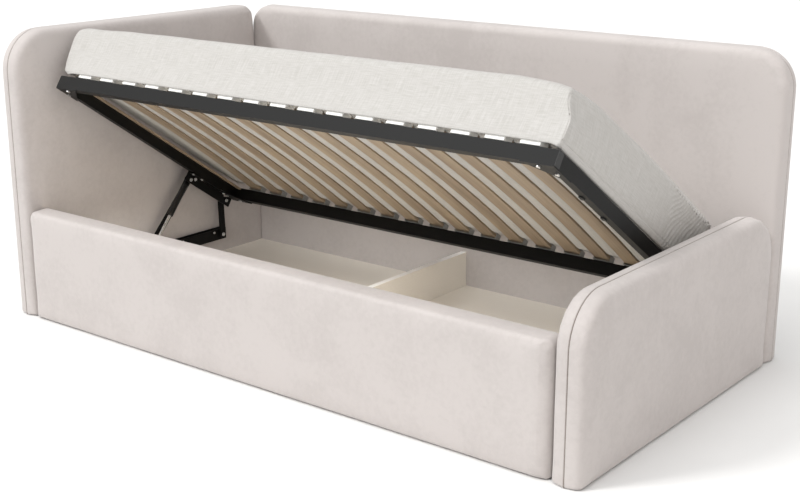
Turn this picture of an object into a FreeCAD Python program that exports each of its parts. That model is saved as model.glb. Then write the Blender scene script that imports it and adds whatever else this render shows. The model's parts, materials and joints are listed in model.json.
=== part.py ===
import FreeCAD, Part
import math
import os

from FreeCAD import Vector

# Storage bed with a front-lifting slatted frame, modelled with the frame lifted.
# Millimetres. X runs from the head to the foot, Y from the front to the back, Z up.
# The origin is on the floor, under the middle of the bed.

# Overall sizes
bed_length = 2120.0
bed_depth = 1140.0
panel_height = 918.0
foot_height = 467.0
rail_height = 357.0
panel_thickness = 88.0
rail_thickness = 63.0

# Upholstered panels: a board between two pads that meet at a welted seam
panel_corner_radius = 130.0
head_rear_corner_radius = 50.0
back_corner_radius = 115.0
back_lap = 30.0
pad_edge_radius = 18.0
pad_foot_radius = 6.0
core_thickness = 18.0
core_margin = 24.0
core_clearance = 0.3
welt_thickness = 2.4
welt_width = 12.0
welt_recess = 1.5

# Front rail: a board let into the back of one pad
rail_corner_radius = 26.0
rail_front_radius = 20.0
rail_rear_radius = 8.0
rail_core_thickness = 16.0
rail_core_margin = 16.0
rail_end_gap = 1.0

# Storage box
floor_top = 35.0
floor_thickness = 6.0
floor_gap = 0.5
batten_width = 40.0
divider_thickness = 20.0
divider_height = 153.0
divider_offset = -23.0
ledge_width = 28.0
ledge_height = 30.0
ledge_length = 1500.0
ledge_gap = 0.5
corner_angle_leg = 50.0
corner_angle_height = 70.0
corner_angle_thickness = 3.0
corner_angle_base = 60.0
screw_radius = 2.0
screw_head_radius = 4.0
screw_head = 2.0
screw_recess = 3.0
screw_bite = 4.0
screw_spacing = 480.0
screw_count = 4

# Lifted frame of rectangular steel tube
end_gap = 68.0
frame_rear_room = 89.0
tube_width = 25.0
tube_height = 40.0
tube_wall = 2.0
plug_depth = 12.0
plug_rim = 0.7
plug_clearance = 0.3
lift_tilt = 34.1
corner_plate_leg = 95.0
corner_plate_thickness = 3.0
corner_bolt_radius = 6.0
corner_bolt_head = 4.0
side_batten_width = 16.0
side_batten_thickness = 5.0
side_batten_drop = 1.0

# Slats and their holders
slat_count = 17
slat_width = 53.0
slat_thickness = 8.0
slat_camber = 14.0
slat_head_margin = 108.0
slat_foot_margin = 84.0
slat_seat = 8.0
holder_wall = 3.0
holder_depth = 38.0
holder_clearance = 0.3

# Mattress
mattress_end_overhang = 14.0
mattress_edge_overhang = 4.0
mattress_thickness = 163.0
mattress_corner_radius = 40.0
mattress_edge_radius = 30.0
mattress_crown = 9.0
mattress_crown_reach = 260.0
mattress_side_bulge = 7.0
mattress_seat_gap = 0.3
edge_steps = 4
crown_steps = 3

# Lift linkage, measured from the back panel's front face and from the floor
rear_pivot_back = 239.5
rear_pivot_height = 109.5
front_pivot_back = 610.0
front_pivot_height = 111.0
strut_foot_back = 644.0
strut_foot_height = 68.0
rear_link_length = 132.8
rear_link_angle = 92.4

# Lift linkage, measured from the frame's rear edge and its underside
frame_rear_pivot = 30.0
frame_rear_drop = 17.0
frame_front_pivot = 209.5
frame_front_drop = 12.5
strut_head_pivot = 228.0
strut_head_drop = 22.0

# Linkage pieces
channel_width = 30.0
channel_height = 40.0
channel_wall = 4.0
channel_end = 22.0
strut_lug_radius = 14.0
link_width = 26.0
link_thickness = 5.0
link_gap = 4.0
pin_radius = 5.0
pin_head_radius = 9.0
pin_clearance = 0.1
slot_travel_forward = 13.0
slot_travel_up = 13.3
slot_radius = 8.7
sleeve_radius = 12.0
plate_thickness = 4.0
plate_gap = 1.0
plate_drop = 34.0
plate_rise = 32.0
plate_front = 252.0
plate_rear = 8.0
flange_width = 26.0
strut_radius = 11.0
strut_bore_radius = 9.0
strut_length = 146.0
strut_eye_width = 12.0
strut_gap = 1.5
rod_radius = 5.0
rod_overlap = 90.0
rod_eye_radius = 12.0
rod_eye_play = 3.0
gland_length = 14.0
rod_bore_clearance = 0.3

# Derived places
half_length = bed_length / 2
front_y = -bed_depth / 2
back_face_y = bed_depth / 2 - panel_thickness
rail_rear_y = front_y + rail_thickness
inner_x = half_length - panel_thickness
half_panel = panel_thickness / 2
frame_half = inner_x - end_gap
frame_depth = back_face_y - rail_rear_y - frame_rear_room
batten_height = floor_top - floor_thickness
slat_pitch = (2 * frame_half - slat_head_margin - slat_foot_margin) / (slat_count - 1)
slat_end_height = tube_height + slat_seat
slat_first = holder_wall + holder_clearance
slat_span = frame_depth - 2 * slat_first
holder_rise = 4 * slat_camber / slat_span * holder_depth
holder_height = slat_seat + slat_thickness + holder_rise + holder_clearance + holder_wall
mattress_length = 2 * (frame_half + mattress_end_overhang)
mattress_depth = frame_depth + 2 * mattress_edge_overhang
mattress_base = slat_end_height + slat_thickness + slat_camber + mattress_seat_gap

# Two places nearer than this are the same place
same_place = 1e-6

parts = {}


def add(name, shape):
    parts[name] = shape


def box(low, high):
    size = high - low
    return Part.makeBox(size.x, size.y, size.z, low)


def rod_along_x(radius, start_x, end_x, y, z):
    return Part.makeCylinder(radius, end_x - start_x, Vector(start_x, y, z), Vector(1, 0, 0))


def mirrored(shape):
    return shape.mirror(Vector(0, 0, 0), Vector(1, 0, 0))


def rounded_outline(length, height, radii, inset=0.0, least=0.0):
    """Closed outline in the XY plane; radii run anticlockwise from the origin's corner."""
    low = inset
    right = length - inset
    top = height - inset
    corners = [Vector(low, low, 0), Vector(right, low, 0), Vector(right, top, 0), Vector(low, top, 0)]
    ways = [Vector(1, 0, 0), Vector(0, 1, 0), Vector(-1, 0, 0), Vector(0, -1, 0)]
    bend = 1 - math.sqrt(0.5)
    edges = []
    last = None
    first = None
    for corner, way, before, radius in zip(corners, ways, ways[-1:] + ways[:-1], radii):
        size = max(radius - inset, least)
        start = corner - before * size
        end = corner + way * size
        middle = corner + (way - before) * size * bend
        if last is not None:
            edges.append(Part.LineSegment(last, start).toShape())
        else:
            first = start
        if size > 0:
            edges.append(Part.Arc(start, middle, end).toShape())
        last = end
    edges.append(Part.LineSegment(last, first).toShape())
    return Part.Wire(edges)


def slab(wire, low, high):
    moved = wire.copy()
    moved.translate(Vector(0, 0, low))
    return Part.Face(moved).extrude(Vector(0, 0, high - low))


def edges_at(shape, height):
    return [e for e in shape.Edges if all(abs(v.Z - height) < same_place for v in e.Vertexes)]


def on_floor(edge):
    return all(abs(v.Y) < same_place for v in edge.Vertexes)


def rounded_pad(wire, low, high, face_height):
    """Slab whose outer face has soft edges and whose foot has tighter ones."""
    pad = slab(wire, low, high)
    pad = pad.makeFillet(pad_edge_radius, [e for e in edges_at(pad, face_height) if not on_floor(e)])
    seam = edges_at(pad, low + high - face_height)
    foot = [e for e in pad.Edges if on_floor(e) and not has_edge(seam, e)]
    return pad.makeFillet(pad_foot_radius, foot)


def has_edge(edges, edge):
    return any(edge.isSame(other) for other in edges)


def placed(shape, base, along, up, out):
    """Puts a shape from its own XYZ onto the directions along, up and out."""
    turn = FreeCAD.Rotation(along, up, out, "XYZ")
    shape.Placement = FreeCAD.Placement(base, turn)
    return shape


def upholstered_panel(name, length, height, radii, base, along, out):
    """Core board, inner pad and outer pad; the ring between the pads is returned."""
    outline = rounded_outline(length, height, radii)
    seam_low = half_panel - welt_thickness / 2
    seam_high = half_panel + welt_thickness / 2
    core_low = half_panel - core_thickness / 2
    core_high = half_panel + core_thickness / 2
    core = slab(rounded_outline(length, height, radii, core_margin), core_low, core_high)
    pocket = slab(rounded_outline(length, height, radii, core_margin - core_clearance),
                  core_low, core_high)
    inner = rounded_pad(outline, 0, seam_low, 0).cut(pocket)
    outer = rounded_pad(outline, seam_high, panel_thickness, panel_thickness).cut(pocket)
    ring = slab(rounded_outline(length, height, radii, welt_recess), seam_low, seam_high)
    hole = slab(rounded_outline(length, height, radii, welt_recess + welt_width), seam_low, seam_high)
    up = Vector(0, 0, 1)
    add(name + "_core", placed(core, base, along, up, out))
    add(name + "_inner_pad", placed(inner, base, along, up, out))
    add(name + "_outer_pad", placed(outer, base, along, up, out))
    return placed(ring.cut(hole), base, along, up, out)


def build_panels():
    side_depth = back_face_y - front_y
    top = panel_corner_radius
    head = upholstered_panel(
        "head", side_depth, panel_height, [0, 0, top, head_rear_corner_radius],
        Vector(-inner_x, back_face_y, 0), Vector(0, -1, 0), Vector(-1, 0, 0))
    foot = upholstered_panel(
        "foot", side_depth, foot_height, [0, 0, top, top],
        Vector(inner_x, front_y, 0), Vector(0, 1, 0), Vector(1, 0, 0))
    back_length = bed_length - panel_thickness + back_lap
    back = upholstered_panel(
        "back", back_length, panel_height, [0, 0, back_corner_radius, back_corner_radius],
        Vector(half_length, back_face_y, 0), Vector(-1, 0, 0), Vector(0, 1, 0))
    add("panel_welts", Part.makeCompound([head, foot, back]))


def build_front_rail():
    length = 2 * (inner_x - rail_end_gap)
    radii = [rail_corner_radius] * 4
    pad = slab(rounded_outline(length, rail_height, radii), 0, rail_thickness)
    pad = pad.makeFillet(rail_front_radius, edges_at(pad, rail_thickness))
    pad = pad.makeFillet(rail_rear_radius, edges_at(pad, 0))
    pocket = slab(rounded_outline(length, rail_height, radii, rail_core_margin - core_clearance),
                  0, rail_core_thickness)
    core = slab(rounded_outline(length, rail_height, radii, rail_core_margin), 0, rail_core_thickness)
    base = Vector(-length / 2, rail_rear_y, 0)
    along = Vector(1, 0, 0)
    up = Vector(0, 0, 1)
    out = Vector(0, -1, 0)
    add("front_rail_pad", placed(pad.cut(pocket), base, along, up, out))
    add("front_rail_core", placed(core, base, along, up, out))


def build_storage_box():
    divider_left = divider_offset - divider_thickness / 2
    divider_right = divider_offset + divider_thickness / 2
    near = rail_rear_y + floor_gap
    far = back_face_y - floor_gap
    add("floor_left", box(Vector(-inner_x + floor_gap, near, batten_height),
                          Vector(divider_left - floor_gap, far, floor_top)))
    add("floor_right", box(Vector(divider_right + floor_gap, near, batten_height),
                           Vector(inner_x - floor_gap, far, floor_top)))
    add("divider", box(Vector(divider_left, near, batten_height),
                       Vector(divider_right, far, divider_height)))
    add("batten_front", box(Vector(-inner_x, rail_rear_y, 0),
                            Vector(inner_x, rail_rear_y + batten_width, batten_height)))
    add("batten_rear", box(Vector(-inner_x, back_face_y - batten_width, 0),
                           Vector(inner_x, back_face_y, batten_height)))
    fix_battens()
    angles = []
    for side in (-1, 1):
        wall_x = side * inner_x
        leg_x = wall_x - side * corner_angle_leg
        web_x = wall_x - side * corner_angle_thickness
        low = corner_angle_base
        high = corner_angle_base + corner_angle_height
        web = box(Vector(min(wall_x, web_x), rail_rear_y, low),
                  Vector(max(wall_x, web_x), rail_rear_y + corner_angle_leg, high))
        leg = box(Vector(min(wall_x, leg_x), rail_rear_y, low),
                  Vector(max(wall_x, leg_x), rail_rear_y + corner_angle_thickness, high))
        angles.append(web.fuse(leg).removeSplitter())
    add("corner_angles", Part.makeCompound(angles))


def fix_battens():
    """Screws driven from below hold the floor panels to the battens."""
    screws = []
    reach = batten_height + screw_bite - screw_recess
    for y in (rail_rear_y + batten_width / 2, back_face_y - batten_width / 2):
        for k in range(screw_count):
            foot = Vector((k - (screw_count - 1) / 2) * screw_spacing, y, screw_recess)
            shank = Part.makeCylinder(screw_radius, reach, foot)
            head = Part.makeCylinder(screw_head_radius, screw_head, foot)
            screws.append(shank.fuse(head).removeSplitter())
    cutter = Part.makeCompound(screws)
    for name in ("batten_front", "batten_rear", "floor_left", "floor_right"):
        parts[name] = parts[name].cut(cutter)
    add("batten_screws", cutter)


def pivots_at_rest():
    """Fixed pivots and frame pivots in the lifted pose, as points with X at zero."""
    rear = Vector(0, back_face_y - rear_pivot_back, rear_pivot_height)
    front = Vector(0, back_face_y - front_pivot_back, front_pivot_height)
    foot = Vector(0, back_face_y - strut_foot_back, strut_foot_height)
    turn = math.radians(rear_link_angle)
    frame_rear = rear + Vector(0, math.cos(turn), math.sin(turn)) * rear_link_length
    return rear, front, foot, frame_rear


def on_frame(shape):
    """Carries a shape from the frame's own axes to its lifted place."""
    frame_rear = pivots_at_rest()[3]
    turn = FreeCAD.Rotation(Vector(1, 0, 0), -lift_tilt)
    own = Vector(0, frame_depth - frame_rear_pivot, -frame_rear_drop)
    shift = FreeCAD.Placement(frame_rear - turn.multVec(own), turn)
    moved = shape.copy()
    moved.Placement = shift.multiply(moved.Placement)
    return moved


def frame_point(from_rear, drop):
    point = Part.Vertex(0, frame_depth - from_rear, -drop)
    return on_frame(point).Point


def closed_underside():
    """Height of the frame's underside when both links let it lie flat."""
    rear, front = pivots_at_rest()[:2]
    frame_front = frame_point(frame_front_pivot, frame_front_drop)
    reach = frame_front.sub(front).Length
    step = Vector(0, frame_rear_pivot - frame_front_pivot, frame_rear_drop - frame_front_drop)
    other = front - step
    apart = rear.sub(other)
    span = apart.Length
    along = (reach ** 2 - rear_link_length ** 2 + span ** 2) / (2 * span)
    across = math.sqrt(reach ** 2 - along ** 2)
    way = apart * (1 / span)
    lift = Vector(0, -way.z, way.y)
    met = other + way * along + lift * across
    return met.z + frame_rear_drop


def build_ledge():
    """Rest for the lowered frame; the divider is notched to clear it."""
    top = closed_underside() - ledge_gap
    low = Vector(-ledge_length / 2, rail_rear_y, top - ledge_height)
    high = Vector(ledge_length / 2, rail_rear_y + ledge_width, top)
    add("rail_ledge", box(low, high))
    room = Vector(ledge_gap, ledge_gap, ledge_gap)
    parts["divider"] = parts["divider"].cut(box(low - room, high + room))


def square_tube(low, high, open_axis):
    solid = box(low, high)
    wall = Vector(tube_wall, tube_wall, tube_wall)
    keep = Vector(*[0 if axis == open_axis else 1 for axis in "xyz"])
    inset = Vector(wall.x * keep.x, wall.y * keep.y, wall.z * keep.z)
    return solid.cut(box(low + inset, high - inset))


def build_frame():
    near = Vector(-frame_half, 0, 0)
    add("frame_front_tube", on_frame(square_tube(near, Vector(frame_half, tube_width, tube_height), "x")))
    add("frame_rear_tube", on_frame(square_tube(Vector(-frame_half, frame_depth - tube_width, 0),
                                                Vector(frame_half, frame_depth, tube_height), "x")))
    for name, side in (("left", -1), ("right", 1)):
        outer_x = side * frame_half
        inner_edge = outer_x - side * tube_width
        tube = square_tube(Vector(min(outer_x, inner_edge), tube_width, 0),
                           Vector(max(outer_x, inner_edge), frame_depth - tube_width, tube_height), "y")
        add("frame_" + name + "_tube", on_frame(tube))
    add("tube_plugs", on_frame(Part.makeCompound(tube_plugs())))
    build_side_battens()
    plates = []
    bolts = []
    for side in (-1, 1):
        for end, way in ((0, 1), (frame_depth, -1)):
            plate, heads = corner_plate(side, end, way)
            plates.append(plate)
            bolts.extend(heads)
    add("corner_plates", on_frame(Part.makeCompound(plates)))
    add("corner_bolts", on_frame(Part.makeCompound(bolts)))


def build_side_battens():
    """Wooden strip along the inside of each end tube."""
    top = tube_height - side_batten_drop
    near = Vector(frame_half - tube_width - side_batten_width, tube_width, top - side_batten_thickness)
    far = Vector(frame_half - tube_width, frame_depth - tube_width, top)
    strip = box(near, far)
    add("side_battens", on_frame(Part.makeCompound([mirrored(strip), strip])))


def tube_plugs():
    """A rim outside each tube end and a tongue inside it."""
    plugs = []
    inset = tube_wall + plug_clearance
    for side in (-1, 1):
        end_x = side * frame_half
        for near in (0, frame_depth - tube_width):
            rim_x = end_x + side * plug_rim
            tongue_x = end_x - side * plug_depth
            rim = box(Vector(min(end_x, rim_x), near, 0),
                      Vector(max(end_x, rim_x), near + tube_width, tube_height))
            tongue = box(Vector(min(end_x, tongue_x), near + inset, inset),
                         Vector(max(end_x, tongue_x), near + tube_width - inset, tube_height - inset))
            plugs.append(rim.fuse(tongue).removeSplitter())
    return plugs


def corner_plate(side, end, way):
    """Triangular plate under one corner of the frame, with a bolt in each tube."""
    corner = Vector(side * frame_half, end, -corner_plate_thickness)
    along = corner - Vector(side * corner_plate_leg, 0, 0)
    back = corner + Vector(0, way * corner_plate_leg, 0)
    inner = tube_width / 2
    face = Part.Face(Part.makePolygon([corner, along, back, corner]))
    plate = face.extrude(Vector(0, 0, corner_plate_thickness))
    reach = corner_plate_leg / 2
    under = -corner_plate_thickness - corner_bolt_head
    heads = []
    lengthwise = (corner.x - side * reach, end + way * inner)
    crosswise = (corner.x - side * inner, end + way * reach)
    for x, y in (lengthwise, crosswise):
        heads.append(Part.makeCylinder(corner_bolt_radius, corner_bolt_head, Vector(x, y, under)))
    return plate, heads


def slat_middle(k):
    return -frame_half + slat_head_margin + k * slat_pitch


def bowed_slat(middle_x):
    low = slat_end_height
    start = slat_first
    end = frame_depth - slat_first
    middle = frame_depth / 2
    x = middle_x - slat_width / 2
    under = Part.Arc(Vector(x, start, low), Vector(x, middle, low + slat_camber),
                     Vector(x, end, low)).toShape()
    high = low + slat_thickness
    upper = Part.Arc(Vector(x, end, high), Vector(x, middle, high + slat_camber),
                     Vector(x, start, high)).toShape()
    rear = Part.LineSegment(Vector(x, end, low), Vector(x, end, high)).toShape()
    front = Part.LineSegment(Vector(x, start, high), Vector(x, start, low)).toShape()
    return Part.Face(Part.Wire([under, rear, upper, front])).extrude(Vector(slat_width, 0, 0))


def slat_holder(middle_x, end, way):
    """Plastic cap on a tube: closed outside, open towards the slat."""
    half = slat_width / 2 + holder_clearance
    outer = half + holder_wall
    top = tube_height + holder_height
    shell = box(Vector(middle_x - outer, min(end, end + way * holder_depth), tube_height),
                Vector(middle_x + outer, max(end, end + way * holder_depth), top))
    inner_end = end + way * holder_wall
    mouth = end + way * (holder_depth + holder_wall)
    pocket = box(Vector(middle_x - half, min(inner_end, mouth), slat_end_height - holder_clearance),
                 Vector(middle_x + half, max(inner_end, mouth), top - holder_wall))
    return shell.cut(pocket)


def build_slats():
    holders = []
    for k in range(slat_count):
        middle = slat_middle(k)
        add("slat_%02d" % (k + 1), on_frame(bowed_slat(middle)))
        holders.append(slat_holder(middle, 0, 1))
        holders.append(slat_holder(middle, frame_depth, -1))
    add("slat_holders", on_frame(Part.makeCompound(holders)))


def mattress_section(inset, height):
    radii = [mattress_corner_radius] * 4
    wire = rounded_outline(mattress_length, mattress_depth, radii, inset, mattress_side_bulge)
    wire.translate(Vector(-mattress_length / 2, -mattress_edge_overhang, mattress_base + height))
    return wire


def build_mattress():
    """Rounded edges, sides that swell between them, and a crowned top."""
    radius = mattress_edge_radius
    steps = [k / edge_steps for k in range(edge_steps + 1)]
    turns = [s * math.pi / 2 for s in steps]
    rim = mattress_side_bulge
    sections = []
    for turn in turns:
        sections.append(mattress_section(rim + radius * (1 - math.sin(turn)),
                                         radius * (1 - math.cos(turn))))
    side = mattress_thickness - mattress_crown
    sections.append(mattress_section(0, side / 2))
    for turn in turns:
        sections.append(mattress_section(rim + radius * (1 - math.cos(turn)),
                                         side - radius * (1 - math.sin(turn))))
    for k in range(1, crown_steps + 1):
        share = k / crown_steps
        sections.append(mattress_section(rim + radius + share * (mattress_crown_reach - rim - radius),
                                         side + mattress_crown * (1 - (1 - share) ** 2)))
    add("mattress", on_frame(Part.makeLoft(sections, True, True)))


def flat_bar(start, end, low_x, width):
    """Bar with round ends between two points, standing across X."""
    half = width / 2
    way = end - start
    way = way * (1 / way.Length)
    side = Vector(0, -way.z, way.y) * half
    tip = end + way * half
    tail = start - way * half
    edges = [
        Part.LineSegment(start + side, end + side).toShape(),
        Part.Arc(end + side, tip, end - side).toShape(),
        Part.LineSegment(end - side, start - side).toShape(),
        Part.Arc(start - side, tail, start + side).toShape(),
    ]
    face = Part.Face(Part.Wire(edges))
    face.translate(Vector(low_x, 0, 0))
    return face.extrude(Vector(link_thickness, 0, 0))


def build_linkage():
    """The head end's linkage, and its mirror at the foot end."""
    rear, front, foot, frame_rear = pivots_at_rest()
    frame_front = frame_point(frame_front_pivot, frame_front_drop)
    head = frame_point(strut_head_pivot, strut_head_drop)
    wall_x = -inner_x
    channel_x = wall_x + channel_width
    link_x = channel_x + link_gap
    plate_x = -frame_half - plate_gap - plate_thickness
    strut_x = link_x + link_thickness + strut_gap + strut_radius
    left = {
        "wall_channel": wall_channel(wall_x, rear, front, foot),
        "front_link": front_link(link_x, front, frame_front),
        "rear_link": rear_link(link_x, plate_x, rear, frame_rear),
        "frame_bracket": frame_bracket(link_x, plate_x, strut_x, frame_front, head),
        "strut_cylinder": strut_cylinder(strut_x, head, foot),
        "strut_rod": strut_rod(strut_x, head, foot),
    }
    for name, shape in left.items():
        add(name + "_left", shape)
        add(name + "_right", mirrored(shape))
    pins = base_pins(channel_x, link_x, strut_x, rear, front, foot)
    add("base_pins", Part.makeCompound(pins + [mirrored(pin) for pin in pins]))


def wall_channel(wall_x, rear, front, foot):
    """Channel on the end wall, with a lug below it for the strut's foot."""
    low = (rear.z + front.z) / 2 - channel_height / 2
    high = low + channel_height
    near = foot.y - channel_end
    far = rear.y + channel_end
    inner = wall_x + channel_width
    solid = box(Vector(wall_x, near, low), Vector(inner, far, high))
    trough = box(Vector(wall_x + channel_wall, near, low + channel_wall),
                 Vector(inner - channel_wall, far, high))
    lug = Part.makeCylinder(strut_lug_radius, channel_wall, Vector(inner - channel_wall, foot.y, foot.z),
                            Vector(1, 0, 0))
    neck = box(Vector(inner - channel_wall, foot.y - strut_lug_radius, foot.z),
               Vector(inner, foot.y + strut_lug_radius, low + channel_wall))
    channel = solid.cut(trough).fuse([lug, neck]).removeSplitter()
    for point in (rear, front, foot):
        channel = channel.cut(rod_along_x(pin_radius, inner - channel_wall, inner, point.y, point.z))
    return channel


def base_pins(channel_x, link_x, strut_x, rear, front, foot):
    """Riveted pins for both links and a longer stud for the strut's eye."""
    pins = []
    link_end = link_x + link_thickness + pin_clearance
    for point in (rear, front):
        shank = rod_along_x(pin_radius, channel_x - channel_wall, link_end, point.y, point.z)
        collar = rod_along_x(pin_head_radius, channel_x, link_x - pin_clearance, point.y, point.z)
        pins.append(shank.fuse(collar).removeSplitter())
    stud_end = strut_x + strut_eye_width / 2
    pins.append(rod_along_x(pin_radius, channel_x - channel_wall, stud_end, foot.y, foot.z))
    return pins


def pin_hole(start_x, end_x, point, play):
    return rod_along_x(pin_radius + play, start_x, end_x, point.y, point.z)


def front_link(link_x, front, frame_front):
    bar = flat_bar(front, frame_front, link_x, link_width)
    for point in (front, frame_front):
        bar = bar.cut(pin_hole(link_x, link_x + link_thickness, point, pin_clearance))
    return bar


def rear_link(link_x, plate_x, rear, frame_rear):
    """Short link whose upper stud and sleeve reach the frame's bracket."""
    bar = flat_bar(rear, frame_rear, link_x, link_width)
    bar = bar.cut(pin_hole(link_x, link_x + link_thickness, rear, pin_clearance))
    stud_end = plate_x + plate_thickness
    stud = rod_along_x(pin_radius, link_x, stud_end, frame_rear.y, frame_rear.z)
    sleeve = rod_along_x(sleeve_radius, link_x, plate_x - core_clearance, frame_rear.y, frame_rear.z)
    return bar.fuse([stud, sleeve]).removeSplitter()


def frame_bracket(link_x, plate_x, strut_x, frame_front, head):
    """Angle plate under the frame's end tube with studs for the link and the strut."""
    far = frame_depth - plate_rear
    near = frame_depth - plate_front
    plate = box(Vector(plate_x, near, -plate_drop), Vector(plate_x + plate_thickness, far, plate_rise))
    flange = box(Vector(plate_x, near, -plate_thickness),
                 Vector(-frame_half + flange_width, far - corner_plate_leg, 0))
    bracket = on_frame(plate.fuse(flange).removeSplitter())
    bracket = bracket.cut(on_frame(bracket_slot(plate_x)))
    plate_end = plate_x + plate_thickness
    stud = rod_along_x(pin_radius, link_x, plate_end, frame_front.y, frame_front.z)
    collar = rod_along_x(pin_head_radius, link_x + link_thickness + pin_clearance, plate_end,
                         frame_front.y, frame_front.z)
    eye_start = strut_x - strut_eye_width / 2
    strut_stud = rod_along_x(pin_radius, eye_start, plate_end, head.y, head.z)
    return bracket.fuse([stud, collar, strut_stud]).removeSplitter()


def bracket_slot(plate_x):
    """Slot that lets the rear link's stud float while the frame travels."""
    start = Vector(0, frame_depth - frame_rear_pivot, -frame_rear_drop)
    end = start + Vector(0, -slot_travel_forward, slot_travel_up)
    way = end - start
    way = way * (1 / way.Length)
    side = Vector(0, -way.z, way.y) * slot_radius
    edges = [
        Part.LineSegment(start + side, end + side).toShape(),
        Part.Arc(end + side, end + way * slot_radius, end - side).toShape(),
        Part.LineSegment(end - side, start - side).toShape(),
        Part.Arc(start - side, start - way * slot_radius, start + side).toShape(),
    ]
    face = Part.Face(Part.Wire(edges))
    face.translate(Vector(plate_x, 0, 0))
    return face.extrude(Vector(plate_thickness, 0, 0))


def strut_cylinder(strut_x, head, foot):
    """Tube of the gas strut, closed at its eye, with a gland round the rod."""
    way = foot.sub(head)
    way = way * (1 / way.Length)
    start = Vector(strut_x, head.y, head.z)
    body = Part.makeCylinder(strut_radius, strut_length, start, way)
    half_eye = strut_eye_width / 2
    eye = rod_along_x(strut_radius, strut_x - half_eye, strut_x + half_eye, head.y, head.z)
    shoulder = Part.makeCylinder(strut_radius, 2 * strut_radius, start, way)
    slice_room = Vector(half_eye, strut_length, strut_length)
    neck = shoulder.common(box(start - slice_room, start + slice_room))
    body = body.cut(shoulder).fuse([neck, eye]).removeSplitter()
    bore_start = start + way * (strut_length - gland_length - rod_overlap)
    bore = Part.makeCylinder(strut_bore_radius, rod_overlap, bore_start, way)
    gland = Part.makeCylinder(rod_radius + rod_bore_clearance, gland_length,
                              start + way * (strut_length - gland_length), way)
    hole = pin_hole(strut_x - strut_radius, strut_x + strut_radius, head, pin_clearance)
    return body.cut(bore).cut(gland).cut(hole)


def strut_rod(strut_x, head, foot):
    """Rod of the gas strut, with an eye that has play round its stud."""
    way = foot.sub(head)
    reach = way.Length
    way = way * (1 / reach)
    start = Vector(strut_x, head.y, head.z) + way * (strut_length - gland_length - rod_overlap / 2)
    length = reach - (strut_length - gland_length - rod_overlap / 2)
    rod = Part.makeCylinder(rod_radius, length, start, way)
    half_eye = strut_eye_width / 2
    eye = rod_along_x(rod_eye_radius, strut_x - half_eye, strut_x + half_eye, foot.y, foot.z)
    hole = pin_hole(strut_x - strut_radius, strut_x + strut_radius, foot, rod_eye_play)
    return rod.fuse(eye).cut(hole).removeSplitter()


build_panels()
build_front_rail()
build_storage_box()
build_ledge()
build_frame()
build_slats()
build_mattress()
build_linkage()

os.makedirs("parts", exist_ok=True)
for name, shape in parts.items():
    shape.exportStep(os.path.join("parts", name + ".step"))
print(len(parts), "nodes; closed underside at", round(closed_underside(), 2))
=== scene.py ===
import json
import math

import bmesh
import bpy
from mathutils import Matrix, Vector, noise


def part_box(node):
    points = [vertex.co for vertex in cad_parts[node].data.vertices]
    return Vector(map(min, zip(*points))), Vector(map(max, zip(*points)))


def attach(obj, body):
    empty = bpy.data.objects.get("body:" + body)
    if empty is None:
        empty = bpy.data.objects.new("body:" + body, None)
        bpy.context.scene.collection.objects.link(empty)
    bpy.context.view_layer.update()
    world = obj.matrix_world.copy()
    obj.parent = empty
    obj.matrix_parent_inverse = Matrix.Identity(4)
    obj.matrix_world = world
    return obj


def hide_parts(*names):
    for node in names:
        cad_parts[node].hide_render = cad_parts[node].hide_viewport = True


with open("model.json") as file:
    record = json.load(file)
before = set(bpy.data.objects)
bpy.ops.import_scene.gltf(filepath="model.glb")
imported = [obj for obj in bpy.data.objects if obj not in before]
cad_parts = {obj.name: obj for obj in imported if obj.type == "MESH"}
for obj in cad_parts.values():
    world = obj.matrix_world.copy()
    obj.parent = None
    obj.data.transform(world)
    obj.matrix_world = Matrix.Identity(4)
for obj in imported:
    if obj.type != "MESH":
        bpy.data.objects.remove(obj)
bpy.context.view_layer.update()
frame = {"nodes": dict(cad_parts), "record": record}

mm = 0.001

# The lifted frame's own axes: x along the bed, y from its front tube to its rear one, z up from its underside
lift_tilt = math.radians(34.1)
tube_width = 25 * mm
tube_height = 40 * mm
frame_depth = 900 * mm
front_tube_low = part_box("frame_front_tube")[0]
frame_front_edge = Vector((0, front_tube_low.y, front_tube_low.z + tube_width * math.sin(lift_tilt)))
from_frame = Matrix.Translation(frame_front_edge) @ Matrix.Rotation(-lift_tilt, 4, "X")

# Upholstered panels
panel_corner = 130 * mm
head_rear_corner = 50 * mm
back_corner = 115 * mm
back_head_corner = 80 * mm
pad_edge = 24 * mm
pad_foot = 9 * mm
pad_seam = 2.5 * mm
butt_edge = 3 * mm
pad_swell = 3.5 * mm
rail_top_corner = 26 * mm
rail_edge = 13 * mm
rail_foot = 10 * mm
rail_back = 3 * mm
rail_end_turn = 46 * mm
rail_end_depths = (5 * mm, 17 * mm)
cover_cell = 30 * mm
cover_pressure = 3.0
swell_frames = 20
corner_steps = 14
edge_steps = 7
rail_end_cuts = 6
nap_wave = 0.5 * mm
nap_wave_length = 210 * mm

# Mattress, in the frame's axes
mattress_half = 911 * mm
mattress_front = 5 * mm
mattress_rear = 895 * mm
mattress_base = 70.3 * mm
mattress_side = 154 * mm
mattress_top = mattress_base + mattress_side
mattress_crown = 9 * mm
mattress_crown_reach = 260 * mm
mattress_bulge = 4 * mm
head_end_bulge = 20 * mm
head_end_lean = 8 * mm
head_end_tuck = 5 * mm
bulge_depth = 60 * mm
mattress_corner = 7 * mm
mattress_corner_steps = 4
mattress_top_edge = 24 * mm
mattress_low_edge = 12 * mm
mattress_cell = 16 * mm
mattress_swell = 4 * mm
lip_line = -5 * mm
lip_sag = 22 * mm
foot_end_sag = 24 * mm
head_end_sag = 13 * mm
# Heights over the base between which the sag of the lower edges fades out, and where the dip of the corners begins
sag_fade = (12 * mm, 60 * mm)
dip_from = 40 * mm
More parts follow.
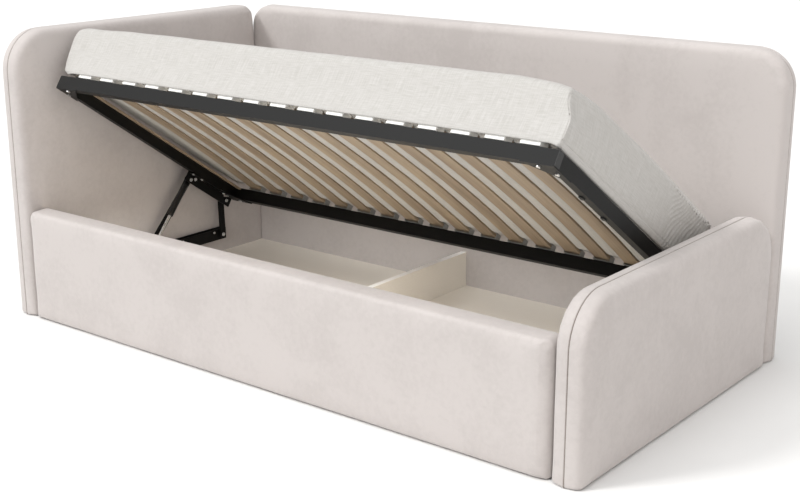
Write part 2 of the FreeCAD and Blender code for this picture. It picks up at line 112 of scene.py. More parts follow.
# Insets from the front, from the ends, and along the front from the head end, over which the lip and end sags fade
lip_fade = (4 * mm, 20 * mm)
end_fade = (44 * mm, 14 * mm)
lip_head_fade = (10 * mm, 70 * mm)
front_corner_dip = 13 * mm
front_dip_from = 690 * mm
head_corner_dip = 6 * mm
head_dip_reach = 250 * mm
dip_reaches = (150 * mm, 600 * mm)
corner_pull = 34 * mm
corner_pull_reach = 120 * mm
corner_pull_least = 0.15
corner_pull_fade = (20 * mm, 24 * mm)
corner_round = 9 * mm
corner_round_reach = 80 * mm
seam_from_end = 2.5 * mm
low_seam = 17 * mm
seam_half = 2.6 * mm
seam_depth = 2.2 * mm
ruffles_from = 540 * mm
ruffles_to = 870 * mm
ruffle_fade = (10 * mm, 150 * mm)
ruffle_cells = (4 * mm, 5 * mm)
ruffle_pitch = 14 * mm
ruffle_depth = 6 * mm
ruffle_middle = 0.6
ruffle_slope = (0.77, -0.64)
ruffle_bend = 18 * mm
ruffle_bend_length = 80 * mm
fold_depth = 1.1 * mm
fold_lengths = (34 * mm, 60 * mm, 260 * mm)
dimple_depth = 1.2 * mm
dimple_length = 120 * mm

# Slats and their caps, in the frame's axes
slat_first = 3.3 * mm
slat_top = 56.3 * mm
slat_camber = 14 * mm
slat_gap_sag = 6 * mm
slat_edge_fade = 7 * mm
slat_count = 17
cap_fade = (38 * mm, 60 * mm)
cap_clearance = 0.6 * mm
cap_half = 28.4 * mm
cap_wall = 1.6 * mm
cap_end_wall = 2.5 * mm
cap_draft = 0.2 * mm
cap_edge = 1.8 * mm
cap_groove_share = 0.42
cap_groove_half = 0.9 * mm
cap_groove_depth = 0.8 * mm
cap_peg_radii = (6 * mm, 7 * mm)
cap_peg_inset = 12.5 * mm
cap_foot = 42 * mm
cap_top = 61.7 * mm
cap_front_depth = 36 * mm
cap_rear_depth = 27 * mm


def linear(code):
    """sRGB hex to linear RGBA."""
    parts = [int(code[k:k + 2], 16) / 255 for k in (0, 2, 4)]
    return [p / 12.92 if p <= 0.04045 else ((p + 0.055) / 1.055) ** 2.4 for p in parts] + [1.0]


def add_node(tree, kind, inputs=(), **settings):
    """Adds a node; inputs are (socket, value or output) pairs."""
    made = tree.nodes.new(kind)
    for key, value in settings.items():
        setattr(made, key, value)
    for key, value in dict(inputs).items():
        if isinstance(value, bpy.types.NodeSocket):
            tree.links.new(value, made.inputs[key])
        else:
            made.inputs[key].default_value = value
    return made


def new_material(name):
    material = bpy.data.materials.new(name)
    material.use_nodes = True
    tree = material.node_tree
    return material, tree, tree.nodes["Principled BSDF"]


def two_tones(tree, value, low, high):
    """Colour ramp between two (position, sRGB hex) stops."""
    ramp = add_node(tree, "ShaderNodeValToRGB", {"Fac": value})
    for stop, (position, code) in zip(ramp.color_ramp.elements, (low, high)):
        stop.position = position
        stop.color = linear(code)
    return ramp.outputs["Color"]


def per_mm(size):
    """Texture scale that gives one feature every so many millimetres."""
    return 1 / (size * mm)


def woven_velvet(name, dark, light):
    """Short-pile polyester velvet: brushed patches, a suede-like mottle and pale edges where the pile is seen side on.
    The mottle is drawn coarser than the real pile, to show."""
    material, tree, shader = new_material(name)
    place = add_node(tree, "ShaderNodeTexCoord").outputs["Object"]
    brushed = add_node(tree, "ShaderNodeTexNoise", {"Vector": place, "Scale": per_mm(190), "Detail": 3.0,
                                                    "Roughness": 0.55, "Distortion": 0.6})
    mottle = add_node(tree, "ShaderNodeTexNoise", {"Vector": place, "Scale": per_mm(16), "Detail": 5.0,
                                                   "Roughness": 0.62, "Distortion": 0.4})
    mixed = add_node(tree, "ShaderNodeMath", {0: mottle.outputs["Fac"], 1: 0.8, 2: brushed.outputs["Fac"]},
                     operation="MULTIPLY_ADD")
    tone = two_tones(tree, mixed.outputs["Value"], (0.68, dark), (1.0, light))
    pile = add_node(tree, "ShaderNodeBump", {"Height": mottle.outputs["Fac"], "Strength": 0.25,
                                             "Distance": 0.8 * mm})
    tree.links.new(tone, shader.inputs["Base Color"])
    tree.links.new(pile.outputs["Normal"], shader.inputs["Normal"])
    shader.inputs["Roughness"].default_value = 0.92
    shader.inputs["Specular IOR Level"].default_value = 0.2
    shader.inputs["Sheen Weight"].default_value = 0.2
    shader.inputs["Sheen Roughness"].default_value = 0.4
    return material


def slub_linen():
    """Linen-look cover cloth: uneven threads both ways. Real threads are finer; these are drawn to show."""
    material, tree, shader = new_material("slub_linen_white")
    place = add_node(tree, "ShaderNodeUVMap", uv_map="weave").outputs["UV"]
    across = add_node(tree, "ShaderNodeMapping", {"Vector": place, "Scale": (per_mm(2.6), per_mm(60), 1)})
    along = add_node(tree, "ShaderNodeMapping", {"Vector": place, "Scale": (per_mm(40), per_mm(2.6), 1)})
    warp = add_node(tree, "ShaderNodeTexNoise", {"Vector": across.outputs["Vector"], "Scale": 1.0, "Detail": 3.0,
                                                 "Roughness": 0.6})
    weft = add_node(tree, "ShaderNodeTexNoise", {"Vector": along.outputs["Vector"], "Scale": 1.0, "Detail": 3.0,
                                                 "Roughness": 0.6})
    weave = add_node(tree, "ShaderNodeMath", {0: warp.outputs["Fac"], 1: weft.outputs["Fac"]}, operation="ADD")
    half = add_node(tree, "ShaderNodeMath", {0: weave.outputs["Value"], 1: 0.5}, operation="MULTIPLY")
    tone = two_tones(tree, half.outputs["Value"], (0.36, "aeaca7"), (0.62, "c1bfbc"))
    threads = add_node(tree, "ShaderNodeBump", {"Height": half.outputs["Value"], "Strength": 0.4,
                                                "Distance": 0.9 * mm})
    tree.links.new(tone, shader.inputs["Base Color"])
    tree.links.new(threads.outputs["Normal"], shader.inputs["Normal"])
    shader.inputs["Roughness"].default_value = 0.95
    shader.inputs["Specular IOR Level"].default_value = 0.15
    shader.inputs["Sheen Weight"].default_value = 0.1
    return material


def bent_birch():
    """Birch veneers glued in a bend and lacquered: fine grain down the slat."""
    material, tree, shader = new_material("bent_birch_lacquered")
    place = add_node(tree, "ShaderNodeTexCoord").outputs["Object"]
    turned = add_node(tree, "ShaderNodeMapping", {"Vector": place, "Rotation": (lift_tilt, 0, 0)})
    fine = add_node(tree, "ShaderNodeMapping", {"Vector": turned.outputs["Vector"],
                                                "Scale": (per_mm(5), per_mm(240), per_mm(30))})
    broad = add_node(tree, "ShaderNodeMapping", {"Vector": turned.outputs["Vector"],
                                                 "Scale": (per_mm(60), per_mm(700), per_mm(60))})
    grain = add_node(tree, "ShaderNodeTexNoise", {"Vector": fine.outputs["Vector"], "Scale": 1.0, "Detail": 4.0,
                                                  "Roughness": 0.6})
    flush = add_node(tree, "ShaderNodeTexNoise", {"Vector": broad.outputs["Vector"], "Scale": 1.0, "Detail": 2.0})
    mixed = add_node(tree, "ShaderNodeMath", {0: grain.outputs["Fac"], 1: 0.6, 2: flush.outputs["Fac"]},
                     operation="MULTIPLY_ADD")
    tone = two_tones(tree, mixed.outputs["Value"], (0.55, "816f5c"), (1.0, "a29079"))
    ridge = add_node(tree, "ShaderNodeBump", {"Height": grain.outputs["Fac"], "Strength": 0.15,
                                              "Distance": 0.3 * mm})
    tree.links.new(tone, shader.inputs["Base Color"])
    tree.links.new(ridge.outputs["Normal"], shader.inputs["Normal"])
    shader.inputs["Roughness"].default_value = 0.5
    return material


def speckled(name, light, dark, grit, roughness, bump, metallic=0.0, gloss=0.5):
    """A finish with a fine all-over speckle of two close tones and a matching relief."""
    material, tree, shader = new_material(name)
    place = add_node(tree, "ShaderNodeTexCoord").outputs["Object"]
    fleck = add_node(tree, "ShaderNodeTexNoise", {"Vector": place, "Scale": per_mm(grit), "Detail": 4.0,
                                                  "Roughness": 0.6})
    tone = two_tones(tree, fleck.outputs["Fac"], (0.35, dark), (0.65, light))
    relief = add_node(tree, "ShaderNodeBump", {"Height": fleck.outputs["Fac"], "Strength": 0.3,
                                               "Distance": bump * mm})
    rough = add_node(tree, "ShaderNodeMapRange", {"Value": fleck.outputs["Fac"], "To Min": roughness - 0.06,
                                                  "To Max": roughness + 0.06})
    tree.links.new(tone, shader.inputs["Base Color"])
    tree.links.new(relief.outputs["Normal"], shader.inputs["Normal"])
    tree.links.new(rough.outputs["Result"], shader.inputs["Roughness"])
    shader.inputs["Metallic"].default_value = metallic
    shader.inputs["Specular IOR Level"].default_value = gloss
    return material


def edged_panel_with_painted_top_light():
    """Melamine panel whose upward faces are painted paler: partly a paler plastic tape lipping its upper edge, partly
    a painted highlight of the light from above.
    """
    material = speckled("melamine_panel_edge_tape_and_top_light", "f1ebe0", "ebe4d8", 2.5, 0.55, 0.1)
    tree = material.node_tree
    tone = tree.nodes["Color Ramp"].outputs["Color"]
    facing = add_node(tree, "ShaderNodeSeparateXYZ",
                      {"Vector": add_node(tree, "ShaderNodeNewGeometry").outputs["True Normal"]})
    # Every upward-facing face gets the paler colour: edge tape and painted top light together
    top_light_mask = add_node(tree, "ShaderNodeMath", {0: facing.outputs["Z"], 1: 0.9}, operation="GREATER_THAN")
    tape_and_top_light = add_node(tree, "ShaderNodeMixRGB", {"Fac": top_light_mask.outputs["Value"], "Color1": tone,
                                                "Color2": linear("fdfbf6")})
    tree.links.new(tape_and_top_light.outputs["Color"], tree.nodes["Principled BSDF"].inputs["Base Color"])
    return material


velvet = woven_velvet("woven_velvet_greige", "bab4b1", "c1bbb8")
linen = slub_linen()
finishes = {
    "velvet": velvet,
    "linen": linen,
    "birch": bent_birch(),
    # Particle board with its chips showing
    "board": speckled("raw_particle_board", "b89b72", "8d7350", 4, 0.85, 0.3),
    # Melamine-faced panel, satin, with a faint linen print
    "laminate": speckled("melamine_panel_cream", "f1ebe0", "ebe4d8", 2.5, 0.55, 0.1),
    # Powder-coated steel: satin black with a slight orange peel
    "black_steel": speckled("powder_coated_steel_black", "0c0c0b", "090908", 1.6, 0.5, 0.05, gloss=0.18),
    # Bright zinc plate
    "zinc_steel": speckled("zinc_plated_steel", "dcdcdc", "c6c6c6", 3, 0.28, 0.05, 1.0),
    # Hard chrome, ground and polished
    "rod_chrome": speckled("chromed_rod", "f0f0f0", "e8e8e8", 2, 0.12, 0.002, 1.0),
    # Moulded polypropylene, slightly waxy
    "white_plastic": speckled("moulded_polypropylene_white", "eeeeeb", "e6e6e2", 3, 0.4, 0.05),
    "black_plastic": speckled("moulded_polyethylene_black", "202020", "181818", 3, 0.5, 0.05),
}
# The rear caps take a grey copy of the white cap plastic: painted shade for caps that sit under the rear tube
rear_cap_painted_shade = speckled("moulded_polypropylene_painted_shade", "9a9a97", "8b8b88", 3, 0.42, 0.05)
# Baked lacquer on the drawn strut tube: smooth and glossy
strut_lacquer = speckled("lacquered_tube_black", "141414", "101010", 2, 0.16, 0.01)

for row in frame["record"]["subparts"]:
    node = frame["nodes"][row["node"]]
    node.data.materials.clear()
    node.data.materials.append(finishes[row["material_slot"]])
for end in ("left", "right"):
    frame["nodes"]["strut_cylinder_" + end].data.materials[0] = strut_lacquer
# The divider's upward faces are painted paler: edge tape and painted top light
frame["nodes"]["divider"].data.materials[0] = edged_panel_with_painted_top_light()
# The welt lies deep in the seam, its pile pressed flat; its darker copy of the velvet is painted shade of the seam
frame["nodes"]["panel_welts"].data.materials[0] = woven_velvet("woven_velvet_painted_seam_shade", "7d756f", "8a827b")


def ease(value, start, end):
    """Smooth 0 to 1 as value goes from start to end."""
    t = min(1.0, max(0.0, (value - start) / (end - start)))
    return t * t * (3 - 2 * t)


def edges_on(bm, axis, value):
    """Edges that lie in a plane across an axis."""
    return {e for e in bm.edges if all(abs(v.co[axis] - value) < 1e-6 for v in e.verts)}


def round_edges(bm, edges, radius, steps):
    bmesh.ops.bevel(bm, geom=list(edges), offset=radius, segments=steps, profile=0.5, affect="EDGES", material=-1,
                    clamp_overlap=False)


def cut_across(bm, axis, places, faces=None):
    """Cuts the given faces, or all of them, along planes across an axis."""
    normal = Vector((0, 0, 0))
    normal[axis] = 1
    faces = bm.faces[:] if faces is None else faces
    parts = list({part for face in faces for part in (*face.verts, *face.edges, face)})
    for place in places:
        parts = bmesh.ops.bisect_plane(bm, geom=parts, dist=1e-6, plane_co=normal * place, plane_no=normal)["geom"]


def even_places(start, end, cell):
    count = max(1, round((end - start) / cell))
    return [start + (end - start) * k / count for k in range(1, count)]


def raised_outline(corners, radii, low, high, steps):
    """Closed block over an outline whose corners are rounded."""
    bm = bmesh.new()
    verts = [bm.verts.new((x, y, low)) for x, y in corners]
    bm.faces.new(verts)
    for vert, radius in zip(verts, radii):
        if radius > 0:
            bmesh.ops.bevel(bm, geom=[vert], offset=radius, segments=steps, profile=0.5, affect="VERTICES",
                            material=-1)
    lifted = bmesh.ops.extrude_face_region(bm, geom=bm.faces[:], use_keep_orig=True)["geom"]
    bmesh.ops.translate(bm, vec=(0, 0, high - low), verts=[v for v in lifted if isinstance(v, bmesh.types.BMVert)])
    bmesh.ops.recalc_face_normals(bm, faces=bm.faces[:])
    return bm


def pad_form(length, height, far_radius, near_radius, thickness, edge, foot, seam, butt):
    """Pad lying on its seam with its face up; x runs along the panel and y up it. An end at x = butt meets another
    panel, and is left nearly square."""
    bm = raised_outline([(0, 0), (length, 0), (length, height), (0, height)], [0, 0, far_radius, near_radius],
                        0, thickness, corner_steps)
    meeting = set() if butt is None else edges_on(bm, 2, thickness) & edges_on(bm, 0, butt)
    round_edges(bm, edges_on(bm, 2, thickness) - edges_on(bm, 1, 0) - meeting, edge, edge_steps)
    if butt is not None:
        round_edges(bm, edges_on(bm, 2, thickness) & edges_on(bm, 0, butt), butt_edge, 2)
    round_edges(bm, edges_on(bm, 1, 0) - edges_on(bm, 2, 0), foot, 3)
    round_edges(bm, edges_on(bm, 2, 0), seam, 2)
    cut_across(bm, 0, even_places(0, length, cover_cell))
    cut_across(bm, 1, even_places(0, height, cover_cell))
    if edge == rail_edge:
        steps = [rail_end_turn * k / rail_end_cuts for k in range(1, rail_end_cuts + 1)]
        cut_across(bm, 0, steps + [length - step for step in steps])
    return bm


def mesh_object(name, bm, material):
    mesh = bpy.data.meshes.new(name)
    bm.to_mesh(mesh)
    bm.free()
    mesh.materials.append(material)
    mesh.shade_smooth()
    piece = bpy.data.objects.new(name, mesh)
    bpy.context.scene.collection.objects.link(piece)
    return piece


def swell(piece, held, limit):
    """Presses the cover outwards from inside as foam does; no point goes further than the limit."""
    group = piece.vertex_groups.new(name="held")
    group.add(held, 1.0, "REPLACE")
    cloth = piece.modifiers.new("Cloth", "CLOTH")
    cloth.settings.quality = 4
    cloth.settings.mass = 0.4
    cloth.settings.tension_stiffness = 25
    cloth.settings.compression_stiffness = 25
    cloth.settings.shear_stiffness = 10
    cloth.settings.bending_stiffness = 1.0
    cloth.settings.use_pressure = True
    cloth.settings.uniform_pressure_force = cover_pressure
    cloth.settings.effector_weights.gravity = 0
    cloth.settings.vertex_group_mass = group.name
    cloth.collision_settings.use_collision = False
    for step in range(1, swell_frames + 1):
        bpy.context.scene.frame_set(step)
    pressed = piece.evaluated_get(bpy.context.evaluated_depsgraph_get()).data
    reached = [v.co.copy() for v in pressed.vertices]
    piece.modifiers.remove(cloth)
    piece.vertex_groups.clear()
    bpy.context.scene.frame_set(1)
    for vert, place in zip(piece.data.vertices, reached):
        move = place - vert.co
        if move.length > 1e-9:
            vert.co += move.normalized() * limit * (1 - math.exp(-move.length / limit))


def turn_rail_ends(piece, length, thickness):
    """Draws the rail's cover back in a wide curve at its ends."""
    for vert in piece.data.vertices:
        for depth, inset in zip(rail_end_depths, (vert.co.x, length - vert.co.x)):
            turned = max(0.0, 1 - inset / rail_end_turn) ** 2
            vert.co.z -= depth * turned * ease(vert.co.z, 0, thickness)


def stand_pad(name, nodes, low, high, out, ends, edge, foot, seam, rear_meets=False):
    """Makes one pad in its own axes, swells it, and stands it where its CAD solid is."""
    up = Vector((0, 0, 1))
    along = up.cross(out)
    ways = along + up + out
    base = Vector([low[k] if ways[k] > 0 else high[k] for k in range(3)])
    size = high - low
    length = abs(along.dot(size))
    thickness = abs(out.dot(size))
    low_radius, high_radius = ends
    far, near = (high_radius, low_radius) if along.x + along.y > 0 else (low_radius, high_radius)
    butt = (length if along.y > 0 else 0) if rear_meets else None
    bm = pad_form(length, size.z, far, near, thickness, edge, foot, seam, butt)
    piece = mesh_object(name, bm, velvet)
    held = [v.index for v in piece.data.vertices
            if v.co.z < 2.5 * seam or butt is not None and abs(v.co.x - butt) < 1.5 * butt_edge]
    swell(piece, held, pad_swell)
    for vert in piece.data.vertices:
        if vert.co.z > thickness / 2:
            vert.co.z += nap_wave * noise.noise(vert.co / nap_wave_length)
    if name == "front_rail_cover":
        turn_rail_ends(piece, length, thickness)
    turn = Matrix((along, up, out)).transposed().to_4x4()
    piece.data.transform(Matrix.Translation(base) @ turn)
    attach(piece, "base")
    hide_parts(*nodes)


def stand_panels():
    """Covers of the head, foot and back panels and of the front rail."""
    panels = {
        "head": (Vector((1, 0, 0)), (panel_corner, head_rear_corner)),
        "foot": (Vector((-1, 0, 0)), (panel_corner, panel_corner)),
        "back": (Vector((0, -1, 0)), (back_head_corner, back_corner)),
    }
    for panel, (inward, ends) in panels.items():
        for side, out in (("inner", inward), ("outer", -inward)):
            node = "%s_%s_pad" % (panel, side)
            low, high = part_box(node)
            stand_pad("%s_%s_cover" % (panel, side), [node], low, high, out, ends, pad_edge, pad_foot, pad_seam,
                      panel == "head")
    low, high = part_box("front_rail_pad")
    stand_pad("front_rail_cover", ["front_rail_pad"], low, high, Vector((0, -1, 0)),
              (rail_top_corner, rail_top_corner), rail_edge, rail_foot, rail_back)


def corner_edges(bm):
    """Edges of the mattress's four corners, from the underside to the top: as far from the end as from the side."""
    def off_corner(vert):
        return mattress_half - abs(vert.co.x) - min(vert.co.y - mattress_front, mattress_rear - vert.co.y)

    return {e for e in bm.edges if all(abs(off_corner(v)) < 1e-5 for v in e.verts)
            and e.calc_length() < mattress_side}


def mattress_form():
    """Plain mattress in the frame's axes, its sides bellied and its top crowned."""
    half = mattress_half
    bm = raised_outline([(-half, mattress_front), (half, mattress_front), (half, mattress_rear),
                         (-half, mattress_rear)], [0] * 4, mattress_base, mattress_top, 1)
    round_edges(bm, edges_on(bm, 2, mattress_top), mattress_top_edge, edge_steps)
    round_edges(bm, edges_on(bm, 2, mattress_base), mattress_low_edge, 4)
    round_edges(bm, corner_edges(bm), mattress_corner, mattress_corner_steps)
    cut_across(bm, 0, even_places(-half, half, mattress_cell))
    cut_across(bm, 1, even_places(mattress_front, mattress_rear, mattress_cell))
    cut_across(bm, 2, even_places(mattress_base, mattress_top, mattress_cell))
    for vert in bm.verts:
        x, y, z = vert.co
        share = (z - mattress_base) / mattress_side
        belly = max(0.0, 1 - abs(2 * share - 1) ** 3)
        at_end = ease(abs(x), half - bulge_depth, half)
        if x < 0:
            vert.co.x += (head_end_tuck - head_end_bulge * belly - head_end_lean * ease(share, 0.2, 0.8)) * at_end
        else:
            vert.co.x += mattress_bulge * belly * at_end
        vert.co.y += mattress_bulge * belly * (ease(y, mattress_rear - bulge_depth, mattress_rear) - 1
                                               + ease(y, mattress_front, mattress_front + bulge_depth))
        if share > 0.5:
            inset = min(half - abs(x), y - mattress_front, mattress_rear - y)
            crown = 1 - (1 - min(1.0, max(0.0, inset) / mattress_crown_reach)) ** 2
            vert.co.z += mattress_crown * crown
    return bm


def slat_places():
    """Middle and half width of each slat along the bed."""
    boxes = [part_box("slat_%02d" % k) for k in range(1, slat_count + 1)]
    return [((low.x + high.x) / 2, (high.x - low.x) / 2) for low, high in boxes]


def refine_cover(bm):
    """Finer cuts where the end seams, the slats and the ruffles will press the cover."""
    bm.normal_update()
    steps = (-seam_half, 0, seam_half)
    sides = [f for f in bm.faces if abs(f.normal.y) > 0.3]
    cut_across(bm, 0, [mattress_half - seam_from_end + step for step in steps], sides)
    bm.normal_update()
    foot_end = [f for f in bm.faces if f.normal.x > 0.2]
    cut_across(bm, 2, [mattress_base + low_seam + step for step in steps], foot_end)
    bm.normal_update()
    edges = [middle + side * (half + out) for middle, half in slat_places() for side in (-1, 1)
             for out in (0, slat_edge_fade)]
    cut_across(bm, 0, edges, [f for f in bm.faces if f.normal.z < -0.7])
    for axis, start, end, cell in ((1, ruffles_from, ruffles_to, ruffle_cells[0]),
                                   (2, mattress_base, mattress_top, ruffle_cells[1])):
        ruffled = [f for f in bm.faces if f.normal.x > 0.3 and f.calc_center_median().y > ruffles_from]
        cut_across(bm, axis, even_places(start, end, cell), ruffled)
        bm.normal_update()


def slat_seat(x, y, slats):
    """Height of the mattress's underside: on the bowed slats and their caps, sagging a little between them."""
    reach = frame_depth / 2
    bow = slat_camber * (1 - ((y - reach) / (reach - slat_first)) ** 2)
    near_caps = 1 - ease(min(y, frame_depth - y), *cap_fade)
    off_slat = min(abs(x - middle) - half for middle, half in slats)
    between = ease(off_slat, 0, slat_edge_fade)
    open_seat = slat_top + bow - slat_gap_sag * between
    return open_seat * (1 - near_caps) + (cap_top + cap_clearance) * near_caps


def slump_cover(bm):
    """Hangs the lower edges over the frame, settles the underside on the slats, dips the foot end's front corner,
    and folds and ruffles the sides."""
    bm.normal_update()
    slats = slat_places()
    normals = [v.normal.copy() for v in bm.verts]
    for vert, normal in zip(bm.verts, normals):
        x, y, z = vert.co
        from_head, to_foot = x + mattress_half, mattress_half - x
        rise = z - mattress_base
        low = 1 - ease(rise, *sag_fade)
        high = ease(rise, dip_from, mattress_side)
        lip = (1 - ease(y - mattress_front, *lip_fade)) * low
        end = (1 - ease(mattress_half - abs(x), end_fade[1], end_fade[0])) * low
        sag = max(lip_sag * lip, (foot_end_sag if x > 0 else head_end_sag) * end)
        if normal.z < -0.3:
            settled = (mattress_base - slat_seat(x, y, slats)) * (1 - max(lip, end))
            sag = max(sag, sag + settled)
        near_front = 1 - sum(ease(y, 0, reach) for reach in dip_reaches) / len(dip_reaches)
        dip = near_front * (front_corner_dip * ease(x, front_dip_from, mattress_half)
                            + head_corner_dip * (1 - ease(from_head, 0, head_dip_reach)))
        dip += corner_round * (1 - ease(to_foot, 0, corner_round_reach)) * (1 - ease(y, 0, corner_round_reach))
        vert.co.z -= dip * high + sag
        vert.co.y += (lip_line - y) * lip * ease(from_head, *lip_head_fade)
        drawn = ease(rise, corner_pull_fade[0], mattress_side - corner_pull_fade[1])
        drawn = corner_pull_least + (1 - corner_pull_least) * drawn
        vert.co.x -= corner_pull * (1 - ease(to_foot, 0, corner_pull_reach)) * drawn * near_front

        ruffle = ease(y - ruffles_from, *ruffle_fade) * ease(normal.x, 0.5, 0.9)
        bend = ruffle_bend * noise.noise(Vector((y, z, 0)) / ruffle_bend_length)
        phase = (ruffle_slope[0] * y + ruffle_slope[1] * z + bend) / ruffle_pitch
        vert.co += normal * ruffle * ruffle_depth * (ruffle_middle - abs(math.sin(math.pi * phase)))
        on_side = abs(normal.z) < 0.8
        if on_side:
            folds = noise.noise(Vector([place / length for place, length in zip((x, y, z), fold_lengths)]))
            vert.co += normal * fold_depth * folds
        on_corner = on_side and abs(normal.y) > 0.3 and abs(to_foot - seam_from_end) < seam_half / 2
        on_low_seam = normal.x > 0.2 and abs(rise - low_seam) < seam_half / 2
        if on_corner or on_low_seam:
            vert.co -= normal * seam_depth
        vert.co += normal * dimple_depth * noise.noise(vert.co / dimple_length)


def weave_map(piece):
    """UV map in metres: each face is laid flat along the two frame axes that it faces least."""
    mesh = piece.data
    layer = mesh.uv_layers.new(name="weave")
    for face in mesh.polygons:
        facing = max(range(3), key=lambda k: abs(face.normal[k]))
        u, v = [k for k in range(3) if k != facing]
        for corner in face.loop_indices:
            place = mesh.vertices[mesh.loops[corner].vertex_index].co
            layer.data[corner].uv = (place[u], place[v])


def lay_mattress():
    """Swells the mattress's cover, then lets it slump on the frame."""
    piece = mesh_object("mattress_cover", mattress_form(), linen)
    held = [v.index for v in piece.data.vertices if v.co.z < mattress_base + 3 * mm]
    swell(piece, held, mattress_swell)
    bm = bmesh.new()
    bm.from_mesh(piece.data)
    refine_cover(bm)
    slump_cover(bm)
    bm.to_mesh(piece.data)
    bm.free()
    weave_map(piece)
    piece.data.transform(from_frame)
    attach(piece, "lift_frame")
    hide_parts("mattress")


def set_copies(bm, places):
    """Leaves one copy of the form at each place."""
    form = bm.verts[:] + bm.edges[:] + bm.faces[:]
    for place in places:
        copy = bmesh.ops.duplicate(bm, geom=form)["geom"]
        bmesh.ops.transform(bm, matrix=place, verts=[v for v in copy if isinstance(v, bmesh.types.BMVert)])
    bmesh.ops.delete(bm, geom=[v for v in form if isinstance(v, bmesh.types.BMVert)], context="VERTS")


def cap_form(depth):
    """Moulded slat cap: closed end at y = 0, mouth at y = depth, with a parting groove and a peg under it."""
    height = cap_top - cap_foot
    bm = bmesh.new()
    bmesh.ops.create_cube(bm, size=1)
    bmesh.ops.scale(bm, vec=(2 * cap_half, depth, height), verts=bm.verts[:])
    bmesh.ops.translate(bm, vec=(0, depth / 2, cap_foot + height / 2), verts=bm.verts[:])
    round_edges(bm, edges_on(bm, 1, 0), cap_edge, 3)
    bm.normal_update()
    mouth = [f for f in bm.faces if f.normal.y > 0.9]
    bmesh.ops.inset_region(bm, faces=mouth, thickness=cap_wall, use_even_offset=True)
    bmesh.ops.inset_region(bm, faces=mouth, thickness=cap_draft, depth=cap_end_wall - depth, use_even_offset=True)
    groove = cap_foot + cap_groove_share * height
    closed_end = [f for f in bm.faces if f.normal.y < -0.9]
    cut_across(bm, 2, [groove - cap_groove_half, groove, groove + cap_groove_half], closed_end)
    sunk = [v for v in bm.verts if v.co.y < 0.1 * mm and abs(v.co.z - groove) < 0.1 * mm]
    bmesh.ops.translate(bm, vec=(0, cap_groove_depth, 0), verts=sunk)
    peg = bmesh.ops.create_cone(bm, cap_ends=True, segments=16, radius1=cap_peg_radii[0], radius2=cap_peg_radii[1],
                                depth=cap_foot - tube_height)["verts"]
    bmesh.ops.translate(bm, vec=(0, cap_peg_inset, (cap_foot + tube_height) / 2), verts=peg)
    return bm


def fit_caps():
    """Caps on both ends of each slat."""
    turned = Matrix.Translation((0, frame_depth, 0)) @ Matrix.Rotation(math.pi, 4, "Z")
    white = finishes["white_plastic"]
    # The rear caps get the grey copy of the cap plastic, painted shade under the rear tube
    for end, depth, turn, sign, finish in (("front", cap_front_depth, Matrix(), 1, white),
                                           ("rear", cap_rear_depth, turned, -1, rear_cap_painted_shade)):
        bm = cap_form(depth)
        set_copies(bm, [from_frame @ turn @ Matrix.Translation((sign * middle, 0, 0))
                        for middle, half in slat_places()])
        caps = mesh_object("slat_caps_" + end, bm, finish)
        caps.data.shade_flat()
        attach(caps, "lift_frame")
        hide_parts("slat_holders")


def bolt_form(radius, height):
    """Button head with a sunk socket, standing on z = 0."""
    bm = bmesh.new()
    bmesh.ops.create_cone(bm, cap_ends=True, segments=18, radius1=radius, radius2=radius, depth=height)
    bmesh.ops.translate(bm, vec=(0, 0, height / 2), verts=bm.verts[:])
    round_edges(bm, edges_on(bm, 2, height), 0.7 * height, 4)
    bm.normal_update()
    crown = [f for f in bm.faces if f.normal.z > 0.99]
    bmesh.ops.inset_region(bm, faces=crown, thickness=0.25 * radius, use_even_offset=True)
    bmesh.ops.inset_region(bm, faces=crown, thickness=0.1 * mm, depth=-0.5 * height, use_even_offset=True)
    return bm


def fit_bolts(name, body, radius, height, places):
    """Bolt heads at (place, direction they face) on the head end, and their mirror on the foot end."""
    ways = []
    for place, out in places:
        for side in (1, -1):
            point = Vector((side * place[0], place[1], place[2])) * mm
            facing = Vector((side * out[0], out[1], out[2]))
            ways.append(Matrix.Translation(point) @ facing.to_track_quat("Z", "Y").to_matrix().to_4x4())
    bm = bolt_form(radius * mm, height * mm)
    set_copies(bm, ways)
    bolts = mesh_object(name, bm, finishes["zinc_steel"])
    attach(bolts, body)


def on_lift_frame(x, along, up):
    """Place in millimetres of a point given in the frame's axes."""
    return from_frame @ (Vector((x, along, up)) * mm) / mm


def fit_linkage_bolts():
    """Heads and screws of the lift linkage, in millimetres."""
    tube_middle, plate_x, foot_x, channel_x = -889, -905, -933, -942
    inward = (1, 0, 0)
    under = from_frame.to_3x3() @ Vector((0, 0, -1))
    fit_bolts("bracket_bolts", "lift_frame", 5, 4,
              [(on_lift_frame(tube_middle, along, -4), under) for along in (658, 704, 828)])
    fit_bolts("bracket_pivot_heads", "lift_frame", 6.5, 3.5,
              [(on_lift_frame(plate_x, 690.5, -12.5), inward), (on_lift_frame(plate_x, 672, -22), inward)])
    fit_bolts("rear_link_heads", "rear_links", 6.5, 3.5, [((plate_x, 236.9, 242.2), inward)])
    fit_bolts("link_foot_heads", "base", 7, 3.5, [((foot_x, 242.5, 109.5), inward), ((foot_x, -128, 111), inward)])
    fit_bolts("channel_screws", "base", 4.5, 2.6, [((channel_x, 206, 121), inward), ((channel_x, 54, 121), inward)])


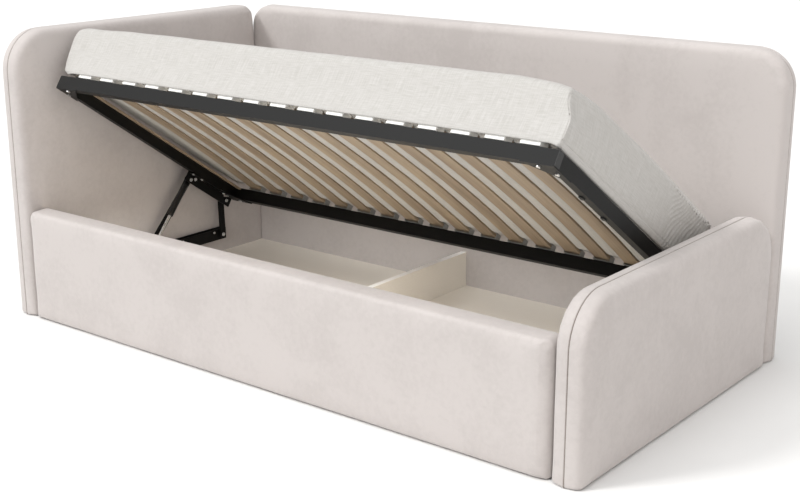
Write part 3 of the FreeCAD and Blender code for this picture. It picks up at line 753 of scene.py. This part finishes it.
def fit_tube_clips():
    """Small moulded clips under the foot end's tube, with a slot across them."""
    half_width, slot_half = 6 * mm, 2 * mm
    bm = bmesh.new()
    bmesh.ops.create_cube(bm, size=1)
    bmesh.ops.scale(bm, vec=(2 * half_width, 18 * mm, 4 * mm), verts=bm.verts[:])
    cut_across(bm, 1, [-slot_half, slot_half])
    bm.normal_update()
    middle = [f for f in bm.faces if f.normal.z < -0.9 and abs(f.calc_center_median().y) < 1 * mm]
    bmesh.ops.inset_region(bm, faces=middle, thickness=0.4 * mm, depth=-2 * mm, use_even_offset=True)
    round_edges(bm, edges_on(bm, 0, half_width) | edges_on(bm, 0, -half_width), 1.2 * mm, 2)
    places = [(884 * mm, along * mm, -2 * mm) for along in (199, 334)]
    set_copies(bm, [from_frame @ Matrix.Translation(place) for place in places])
    clips = mesh_object("end_tube_clips", bm, finishes["black_plastic"])
    clips.data.shade_flat()
    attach(clips, "lift_frame")


stand_panels()
lay_mattress()
fit_caps()
fit_tube_clips()
fit_linkage_bolts()


def aim(holder, toward):
    """Turns a light or camera so that it looks along a direction."""
    holder.rotation_mode = "QUATERNION"
    holder.rotation_quaternion = toward.to_track_quat("-Z", "Y")
    bpy.context.scene.collection.objects.link(holder)


def add_softbox(name, toward, strength, spread, tint=(1, 1, 1)):
    """Wide even light from a far softbox that stands in the given direction."""
    light = bpy.data.lights.new(name, "SUN")
    light.energy = strength
    light.color = tint
    light.angle = math.radians(spread)
    aim(bpy.data.objects.new(name, light), -toward)


def add_storage_fill():
    """Low strip light behind the front rail, for the storage box; the mattress covers it when the bed is closed."""
    light = bpy.data.lights.new("storage_fill", "AREA")
    light.shape = "RECTANGLE"
    light.size = 1.7
    light.size_y = 0.06
    light.spread = math.radians(118)
    light.energy = 5.4
    strip = bpy.data.objects.new("storage_fill", light)
    strip.location = (0, -0.465, 0.31)
    strip.visible_camera = False
    aim(strip, Vector((0, 0.58, -0.81)))


def set_stage():
    bm = bmesh.new()
    bmesh.ops.create_grid(bm, x_segments=1, y_segments=1, size=40)
    floor = mesh_object("studio_floor", bm, speckled("matte_paint_white", "e9e9e8", "e7e7e6", 400, 0.9, 0.01))
    world = bpy.data.worlds.new("studio_white")
    world.use_nodes = True
    world.node_tree.nodes["Background"].inputs["Color"].default_value = (1, 1, 1, 1)
    world.node_tree.nodes["Background"].inputs["Strength"].default_value = 0.53
    bpy.context.scene.world = world
    add_softbox("key_softbox", Vector((-0.48, -0.62, 0.62)), 1.74, 14)
    add_softbox("foot_side_softbox", Vector((0.85, -0.45, 0.25)), 0.9, 55, (1, 0.92, 0.88))
    add_softbox("overhead_softbox", Vector((-0.1, -0.2, 1.0)), 1.5, 55)
    add_storage_fill()
    bpy.context.scene.view_settings.view_transform = "Standard"


def set_camera():
    image_width = 800
    focal_pixels = 1330.02
    yaw = math.radians(38.2403)
    pitch = math.radians(16.0914)
    camera = bpy.data.cameras.new("camera")
    camera.sensor_width = 36
    camera.lens = focal_pixels * camera.sensor_width / image_width
    camera.clip_end = 200
    holder = bpy.data.objects.new("camera", camera)
    holder.location = (2.47377, -3.03757, 1.40643)
    aim(holder, Vector((-math.sin(yaw) * math.cos(pitch), math.cos(yaw) * math.cos(pitch), -math.sin(pitch))))
    bpy.context.scene.camera = holder


set_stage()
set_camera()
